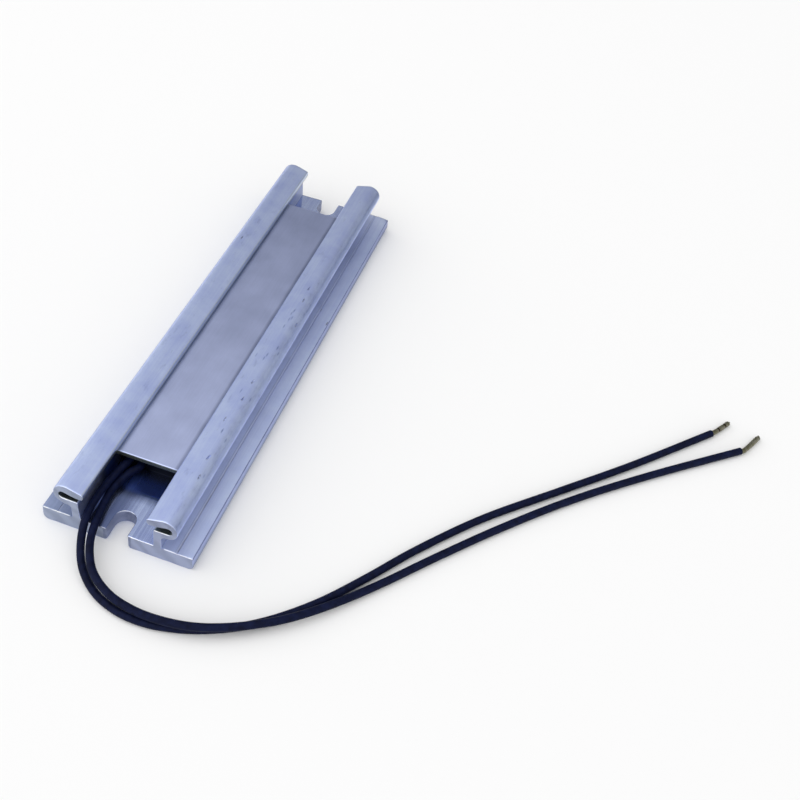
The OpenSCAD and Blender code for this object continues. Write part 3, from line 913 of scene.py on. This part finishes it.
# %% Coats of the housing, each with its zone, pattern, colours, spread and way of laying on
evenly, softly, fully, widely = (0.35, 0.65), (0.38, 0.62), (0, 1), (0.1, 0.9)
channel_coats = [
    ("grime", "streaks", "#C2C6D0", "#E6E8EC", (0.36, 0.6), multiplied),
    ("painted_lead_shade", "streaks", "#9499A8", "#A0A5B4", evenly, multiplied),
    ("painted_plate_shade", "streaks", "#868C98", "#9298A4", evenly, multiplied),
    ("painted_blue_shade", "streaks", "#4660B8", "#526CC2", evenly, laid_over),
]
rail_coats = [
    # Painted shade on the left flange and on the far part of the right one.
    ("painted_flange_shade", "mottled", "#C2C6D2", "#CED2DE", evenly, multiplied),
    ("strip", "streaks", "#E4E6E8", "#F0F2F4", evenly, multiplied),
    # Painted light: pale paint under the hooks, over the shade that falls there.
    ("groove", "mottled", "#E2E4E8", "#F2F4F8", softly, laid_over),
    ("slot", "mottled", "#8A9496", "#A6B0B2", evenly, laid_over),
    # Painted shade on sideways faces, deeper towards the far end.
    ("side", "backwards", "#E8E8EA", "#B2B6C4", fully, multiplied),
    # Painted shade on the hook's shoulder, over its bright reflection of the room, deeper towards the far
    # end.
    ("shoulder", "backwards", "#CDCFD5", "#A0A6B3", fully, multiplied),
    ("rubbed", "scuffs", "#A4AAB6", "#FFFFFF", (0.36, 0.56), multiplied),
    ("foot", "streaks", "#CCCCCC", "#DCDCDC", evenly, multiplied),
    ("far_wall", "mottled", "#A6B0CC", "#B6C0DC", evenly, laid_over),
]
edge_coats = [
    ("guide", "scuffs", "#AEB6D2", "#C2CAE6", evenly, laid_over),
    ("rim", "scuffs", "#7C86B4", "#98A2CE", evenly, laid_over),
    ("painted_front_glint", "scuffs", "#C8D0E8", "#FFFFFF", evenly, laid_over),
    ("far_edge", "scuffs", "#3E4458", "#5A6078", evenly, laid_over),
    ("end", "saw", "#A0A8C2", "#AEB6D0", widely, laid_over),
    ("shaded", "mottled", "#ECEEEA", "#F4F6F2", evenly, multiplied),
    ("bore", "scuffs", "#8C94B0", "#9CA4C0", evenly, laid_over),
    ("scrape", "scuffs", "#B8BED2", "#E4E8F0", evenly, multiplied),
    ("nick", "scuffs", "#747C9A", "#9CA4C0", evenly, laid_over),
]


def coated(tree, colour, zone, pattern, coats):
    """A colour with some coats laid over it, each where its zone is."""
    for name, mark, dark, light, spread, how in coats:
        coat = tones(tree, pattern[mark], dark, light, *spread)
        colour = add(tree, "Mix", {**how, 0: zone[name], 6: colour, 7: coat}, 2)
    return colour


print("coats:", len(channel_coats) + len(rail_coats) + len(edge_coats))

# %% [markdown]
# The housing's shader. Die lines spread a reflection across themselves and keep it sharp along the length,
# so it is anisotropic, with its tangent round Y. The channel's floor keeps the die's polish. The sawn ends,
# the flanges, the screw slots' walls, the far wall and the painted lead shade are rougher. A film at the
# open ends and on the far wall lets less of the metal through, and so does the painted blue shade where
# the plate begins.

# %% Mill-finish aluminium: a soft grey shine with a blue cast from the daylight
scuff_share, scuff_spread = 0.2, (0.3, 0.42)
floor_polish = 0.1
rougher = {"painted_lead_shade": 0.2, "end": 0.15, "flange": 0.15, "bore": 0.15, "far_wall": 0.15}
less_metallic = {"inside": 0.91, "painted_blue_shade": 0.86, "far_wall": 0.6}


def housing_colour(tree, zone, pattern):
    """Colour of the housing: clean metal, then the coats."""
    mottled = pattern["mottled"]
    colour = tones(tree, mottled, "#BAC8F8", "#CEDCFF", *softly)
    scuffed = tones(tree, pattern["scuffs"], "#7D88AA", "#FFFFFF", *scuff_spread)
    colour = add(tree, "Mix", {**multiplied, 0: scuff_share, 6: colour, 7: scuffed}, 2)
    colour = coated(tree, colour, zone, pattern, channel_coats)
    # Painted light: the flanges are lighter than the rest, the right one most towards its outer edge.
    inner_flange = tones(tree, mottled, "#C4CFF0", "#D2DCFC", *softly)
    outer_flange = tones(tree, mottled, "#CFDBFE", "#DDE9FF", *softly)
    flange = add(tree, "Mix", {**laid_over, 0: zone["outer"], 6: inner_flange, 7: outer_flange}, 2)
    colour = add(tree, "Mix", {**laid_over, 0: zone["flange"], 6: colour, 7: flange}, 2)
    colour = coated(tree, colour, zone, pattern, rail_coats)
    # The left lip's tip is greyer; its foot, beside the gap under the lip, is darker with painted shade.
    tip_colour = tones(tree, mottled, "#C0CCE6", "#D0DCF4")
    tip_foot_shade = tones(tree, mottled, "#AEB4B4", "#BCC2C2")
    tip_colour = add(tree, "Mix", {**laid_over, 0: zone["tip_foot"], 6: tip_colour, 7: tip_foot_shade}, 2)
    colour = add(tree, "Mix", {**laid_over, 0: zone["tip"], 6: colour, 7: tip_colour}, 2)
    return coated(tree, colour, zone, pattern, edge_coats)


def mill_finish():
    """Bare extruded aluminium with its zones and the marks of the die, the saw and use."""
    material, tree, shader = new_finish("mill_finish_aluminium", Anisotropic=0.35)
    place = add(tree, "TexCoord", {}, "Object")
    zone = housing_zones(tree, survey(tree, place))
    pattern = {**surface_marks(tree, place), "backwards": zone["backwards"]}
    rough = add(tree, "MapRange", {"Value": pattern["mottled"], "To Min": 0.3, "To Max": 0.46})
    rough = add(tree, "Mix", {"Factor": zone["floor"], "A": rough, "B": floor_polish})
    for name, more in rougher.items():
        rough = add(tree, "Math", {"operation": "MULTIPLY_ADD", 0: zone[name], 1: more, 2: rough})
    height = add(tree, "Mix", {"Factor": zone["end"], "A": pattern["streaks"], "B": pattern["saw"]})
    colour = housing_colour(tree, zone, pattern)
    dress(tree, shader, colour, rough, height, relief_mm=0.03, strength=0.08)
    bare = 1.0
    for name, share in less_metallic.items():
        bare = add(tree, "Mix", {"Factor": zone[name], "A": bare, "B": share})
    tree.links.new(bare, shader.inputs["Metallic"])
    across = add(tree, "Tangent", {"direction_type": "RADIAL", "axis": "Y"})
    tree.links.new(across, shader.inputs["Tangent"])
    return material


wear(housing, mill_finish())

# %% [markdown]
# The cover plate is cold-rolled sheet: a little duller than the extrusion, with a faint lengthwise grain
# from the rolls and cloudy handling marks. Painted shade darkens it more and more towards the far end, and
# a line of painted shade lies along the right lip. Its cut ends were never rolled, so they are rough, and
# their dark colour is painted shade.

# %% Rolled plate: a satin grey with soft clouds
# The real grain is some hundredths of a millimetre wide, so it is drawn as coarse as it needs to show.
grain_mm = 0.35
grain_stretch = 0.03
cloud_mm = 9
cloud_share = 0.75
lip_shade_from, lip_shade_to = 6.4 * MM, 7.6 * MM
cut_from, cut_to = 0.75, 0.95
cut_rougher = 0.2


def rolled_plate():
    """Cold-rolled sheet: grain, clouds, and painted shade far back, along the right lip and on the cut ends.
    """
    material, tree, shader = new_finish("rolled_sheet_metal", Metallic=1.0)
    low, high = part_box("cover_plate")
    place = add(tree, "TexCoord", {}, "Object")
    drawn = add(tree, "Mapping", {"Vector": place, "Scale": (1, grain_stretch, 1)})
    grain = add(tree, "TexNoise", {"Vector": drawn, "Scale": spots_of(grain_mm), "Detail": 2})
    clouds = add(tree, "TexNoise", {"Vector": place, "Scale": spots_of(cloud_mm), "Detail": 4})
    marks = add(tree, "Mix", {"Factor": cloud_share, "A": grain, "B": clouds})
    bright = tones(tree, marks, "#B7C1E6", "#C5CFF4")
    far_shade_colour = tones(tree, marks, "#9EA8CC", "#ACB6DA")
    at = add(tree, "SeparateXYZ", {"Vector": place}).node.outputs
    tarnish_and_far_shade = add(tree, "MapRange", {"Value": at["Y"], "From Min": low.y, "From Max": high.y})
    lip_shade = add(tree, "MapRange", {**soft_step, "Value": at["X"], "From Min": lip_shade_from,
                                      "From Max": lip_shade_to})
    facing = add(tree, "SeparateXYZ", {"Vector": add(tree, "NewGeometry", {}, "Normal")}, "Y")
    endways = add(tree, "Math", {"operation": "ABSOLUTE", 0: facing})
    cut_end = add(tree, "MapRange", {**soft_step, "Value": endways, "From Min": cut_from, "From Max": cut_to})
    # Painted shade: the plate darkens from its front to its far end.
    colour = add(tree, "Mix", {**laid_over, 0: tarnish_and_far_shade, 6: bright, 7: far_shade_colour}, 2)
    # Painted shade: a dark line on the plate along the right lip.
    lip_shade_colour = tones(tree, marks, "#B8BAC0", "#CCCED4")
    colour = add(tree, "Mix", {**multiplied, 0: lip_shade, 6: colour, 7: lip_shade_colour}, 2)
    # The cut ends are rougher, and their dark olive colour is painted shade.
    cut_end_shade = tones(tree, grain, "#62675F", "#7A8076")
    colour = add(tree, "Mix", {**laid_over, 0: cut_end, 6: colour, 7: cut_end_shade}, 2)
    rough = add(tree, "MapRange", {"Value": marks, "To Min": 0.3, "To Max": 0.42})
    rough = add(tree, "Math", {"operation": "MULTIPLY_ADD", 0: cut_end, 1: cut_rougher, 2: rough})
    dress(tree, shader, colour, rough, grain, relief_mm=0.03, strength=0.06)
    return material


wear(plate, rolled_plate())

# %% [markdown]
# Black lead insulation: soft PVC, drawn through a die, so it is smooth with a low waxy gloss. A plain black
# would look cut out of the picture, so a faint dust varies its colour and its gloss.

# %% Lead insulation
dust_mm = 1.5


def soft_pvc():
    """Black soft PVC with a low gloss and a faint dust."""
    material, tree, shader = new_finish("black_soft_pvc", IOR=1.5, Specular_IOR_Level=0.07)
    place = add(tree, "TexCoord", {}, "Object")
    dust = add(tree, "TexNoise", {"Vector": place, "Scale": spots_of(dust_mm), "Detail": 4})
    rough = add(tree, "MapRange", {"Value": dust, "To Min": 0.42, "To Max": 0.6})
    colour = tones(tree, dust, "#080C22", "#131A38", low=0.3, high=0.7)
    dress(tree, shader, colour, rough, dust, relief_mm=0.02, strength=0.1)
    return material


pvc = soft_pvc()
for lead in (upper_lead, lower_lead):
    wear(lead, pvc)

# %% [markdown]
# The bare strands are tinned copper that has gone dull: a grey metal with olive where the tin is thin. The
# two pinched waists are nearly black, so the colour also follows the distance to them.

# %% Tinned strands
tarnish_mm = 1.2
waist_outer, waist_inner = 0.71 * MM, 0.64 * MM


def tinned_copper():
    """Dull tinned copper, dark where the bundle was pinched."""
    material, tree, shader = new_finish("dull_tinned_copper", Metallic=1.0)
    place = add(tree, "TexCoord", {}, "Object")
    tarnish_and_far_shade = add(tree, "TexNoise", {"Vector": place, "Scale": spots_of(tarnish_mm), "Detail": 4})
    rough = add(tree, "MapRange", {"Value": tarnish_and_far_shade, "To Min": 0.35, "To Max": 0.6})
    colour = tones(tree, tarnish_and_far_shade, "#74725A", "#908E80", low=0.4, high=0.6)
    at_waist = near_any(tree, place, pinched, waist_outer, waist_inner)
    burnt = tones(tree, tarnish_and_far_shade, "#241A12", "#3A2C20")
    colour = add(tree, "Mix", {**laid_over, 0: at_waist, 6: colour, 7: burnt}, 2)
    dress(tree, shader, colour, rough, tarnish_and_far_shade, relief_mm=0.02, strength=0.2)
    return material


tinned = tinned_copper()
for node, _, strands, _ in leads:
    wear(strands, tinned)
    frame["nodes"][node + "_inner_end"].data.materials[0] = tinned

# %% [markdown]
# The element inside the sleeve. Little of it shows, but the part may be opened or cut, so each piece has
# its own finish. They differ in a few values only, so one function takes those values. The grains of the
# ceramics are far too fine to show, so they are drawn at about half a millimetre.

# %% Finishes of the inner pieces
grain_strength = 0.3


def grainy(name, dark, light, size_mm, rough_low, rough_high, relief_mm, **sockets):
    """A finish with fine grain: colour, roughness and relief follow one noise."""
    material, tree, shader = new_finish(name, **sockets)
    place = add(tree, "TexCoord", {}, "Object")
    grain = add(tree, "TexNoise", {"Vector": place, "Scale": spots_of(size_mm), "Detail": 5})
    rough = add(tree, "MapRange", {"Value": grain, "To Min": rough_low, "To Max": rough_high})
    dress(tree, shader, tones(tree, grain, dark, light), rough, grain, relief_mm, grain_strength)
    return material


# Each finish: dark and light colour, grain in mm, least and most roughness, relief in mm, shader values
inner_finishes = {
    # Polyimide film is thin and dark, with a soft shine.
    "sleeve_film": grainy("black_polyimide_film", "#05060C", "#0B0D16", 3, 0.3, 0.45, 0.01, IOR=1.7,
                          Specular_IOR_Level=0.08),
    # Fired alumina is white, dry and finely granular.
    "insulator_ceramic": grainy("fired_alumina", "#DEDACC", "#EFECE2", 0.4, 0.6, 0.8, 0.02, IOR=1.77),
    # Stamped brass keeps the mill's shine with brown tarnish.
    "contact_brass": grainy("stamped_brass", "#A98645", "#D8B566", 2.5, 0.25, 0.45, 0.01, Metallic=1.0),
    # Glass-filled nylon is matt, with faint fibre flecks.
    "frame_plastic": grainy("glass_filled_nylon", "#B6AD94", "#CDC5AD", 0.8, 0.5, 0.65, 0.02, IOR=1.53),
    # Pressed barium titanate is grey and dense.
    "stone_ceramic": grainy("pressed_titanate", "#4F4D52", "#66646A", 0.5, 0.5, 0.7, 0.02, IOR=2.4),
    # Cured silicone compound is black, with a slightly lumpy skin.
    "seal_compound": grainy("cured_silicone", "#04050C", "#0A0C16", 1.8, 0.4, 0.6, 0.06, IOR=1.43,
                            Specular_IOR_Level=0.08),
}
for piece in frame["record"]["subparts"]:
    finish = inner_finishes.get(piece["material_slot"])
    if finish:
        frame["nodes"][piece["node"]].data.materials[0] = finish
        print(piece["node"], "wears", finish.name)

# %% [markdown]
# The studio floor: a large sheet of white paper that runs past the picture. A bright plane without shadow
# would let the part float, so the paper is plain and matt, and the part's own shadow falls on it.

# %% Floor
floor_half = 3
floor_drop = 0.02
floor_mesh = bpy.data.meshes.new("studio_floor")
floor_mesh.from_pydata(
    [(-floor_half, -floor_half, 0), (floor_half, -floor_half, 0), (floor_half, floor_half, 0),
     (-floor_half, floor_half, 0)], [], [(0, 1, 2, 3)])
floor = bpy.data.objects.new("studio_floor", floor_mesh)
floor.location.z = -floor_drop * MM
scene.collection.objects.link(floor)
paper, _, paper_shader = new_finish("white_paper_floor", Roughness=0.9, Specular_IOR_Level=0.0)
paper_shader.inputs["Base Color"].default_value = linear("#F5F5F5")
floor_mesh.materials.append(paper)
print("floor in metres:", 2 * floor_half)

# %% [markdown]
# The room is evenly bright, but dimmer at its far wall and on its right. Metal shows little else than the
# room, so the room's tones decide how the rails and the plate look: each darkens towards the far end. A
# picture of a studio could light it too, but two smooth falls of light are enough. A soft lamp gives the
# floor's shadow a direction.

# %% Room and lamp
room_light = 1.37
far_wall_light, far_wall_at = 0.28, 0.9
right_wall_share, right_wall_from, right_wall_at = 0.62, 0.1, 0.9
world = bpy.data.worlds.new("studio_room")
world.use_nodes = True
scene.world = world
room = world.node_tree
looking = add(room, "SeparateXYZ", {"Vector": add(room, "TexCoord", {}, "Generated")}).node.outputs
backwards = add(room, "MapRange", {"Value": looking["Y"], "From Max": far_wall_at, "To Min": room_light,
                                   "To Max": far_wall_light})
sideways = add(room, "MapRange", {"Value": looking["X"], "From Min": right_wall_from,
                                  "From Max": right_wall_at, "To Min": 1, "To Max": right_wall_share})
room.links.new(product(room, backwards, sideways), room.nodes["Background"].inputs["Strength"])
room.nodes["Background"].inputs["Color"].default_value = linear("#FFFFFF")

lamp_size = 0.7
lamp_aim = Vector((0.03, 0, 0))
lamp_data = bpy.data.lights.new("overhead_softbox", "AREA")
lamp_data.shape = "RECTANGLE"
lamp_data.size = lamp_size
lamp_data.size_y = lamp_size
lamp_data.energy = 0.5
lamp = bpy.data.objects.new("overhead_softbox", lamp_data)
lamp.location = (-0.35, -0.1, 0.8)
lamp.rotation_euler = (lamp_aim - lamp.location).to_track_quat("-Z", "Y").to_euler()
scene.collection.objects.link(lamp)
scene.view_settings.view_transform = "Standard"
print("lamp in watts:", lamp_data.energy, "room light:", room_light)
